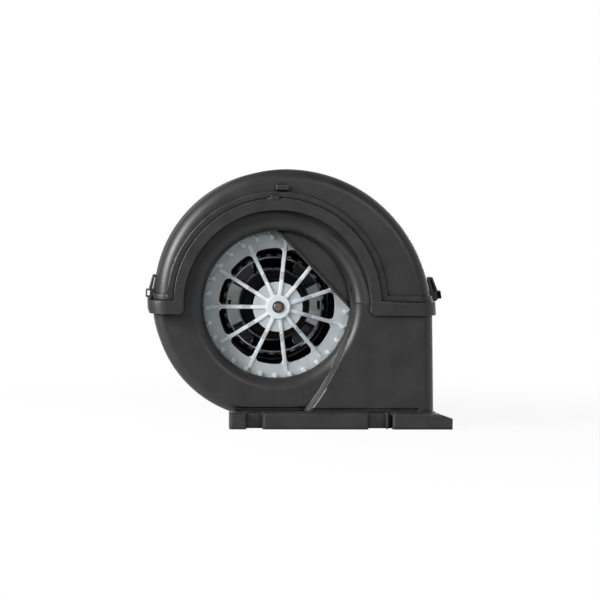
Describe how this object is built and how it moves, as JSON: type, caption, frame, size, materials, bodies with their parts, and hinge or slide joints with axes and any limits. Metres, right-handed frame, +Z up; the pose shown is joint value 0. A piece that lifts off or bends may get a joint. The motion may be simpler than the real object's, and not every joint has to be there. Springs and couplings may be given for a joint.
{
  "type": "heater blower",
  "caption": "Centrifugal heater blower: black two-part scroll housing with base outlet, bell-mouthed inlet and a pale bladed impeller around its nested motor.",
  "frame": {"origin": "middle of the four base bolt holes, on the base's seating face", "axes": "+Z up from the seating face; +X along the base from the scroll side to the outlet side; +Y from the air inlet to the motor, along the motor shaft"},
  "size_m": [0.2747, 0.161, 0.2312],
  "materials": {
    "housing_plastic": "satin black moulded plastic with a fine mould grain",
    "impeller_plastic": "translucent bluish white moulded plastic",
    "can_steel": "zinc plated drawn steel",
    "shaft_steel": "ground steel with a brown oxide tint",
    "clip_steel": "blued spring steel",
    "screw_steel": "zinc plated steel",
    "ferrite": "sintered ferrite",
    "core_steel": "laminated electrical steel",
    "copper": "enamelled copper",
    "bronze": "oiled sintered bronze",
    "brass": "stamped brass",
    "carbon": "pressed carbon",
    "rubber": "soft black rubber",
    "washer_plastic": "nylon"
  },
  "bodies": {
    "housing": {"lower_housing": "housing_plastic", "upper_cover": "housing_plastic", "inlet_shield": "housing_plastic", "motor_mount": "housing_plastic", "mount_screws": "screw_steel", "isolator_front": "rubber", "isolator_rear": "rubber", "motor_can": "can_steel", "magnet_left": "ferrite", "magnet_right": "ferrite", "magnet_springs": "screw_steel", "bearing_cap": "housing_plastic", "front_bearing": "bronze", "rear_bearing": "bronze", "bearing_clips": "screw_steel", "end_cap": "housing_plastic", "terminals": "brass", "chokes": "copper", "brush_tubes": "brass", "brush_caps": "brass", "brush_spring_upper": "screw_steel", "brush_spring_lower": "screw_steel"},
    "rotor": {"shaft": "shaft_steel", "armature_core": "core_steel", "armature_windings": "copper", "commutator": "copper", "thrust_washers": "washer_plastic", "impeller": "impeller_plastic", "hub_clip": "clip_steel"},
    "upper_brush": {"brush_upper": "carbon"},
    "lower_brush": {"brush_lower": "carbon"}
  },
  "joints": [
    {"name": "rotor_spin", "type": "hinge", "parent": "housing", "child": "rotor", "pos_m": [-0.058, 0, 0.1075], "axis": [0, 1, 0], "continuous": true},
    {"name": "upper_brush_slide", "type": "slide", "parent": "housing", "child": "upper_brush", "axis": [0, 0, 1], "range_m": [0, 0.004], "stiffness_N_per_m": 400, "springref_m": -0.012, "deforming": ["brush_spring_upper"]},
    {"name": "lower_brush_slide", "type": "slide", "parent": "housing", "child": "lower_brush", "axis": [0, 0, -1], "range_m": [0, 0.004], "stiffness_N_per_m": 400, "springref_m": -0.012, "deforming": ["brush_spring_lower"]}
  ]
}
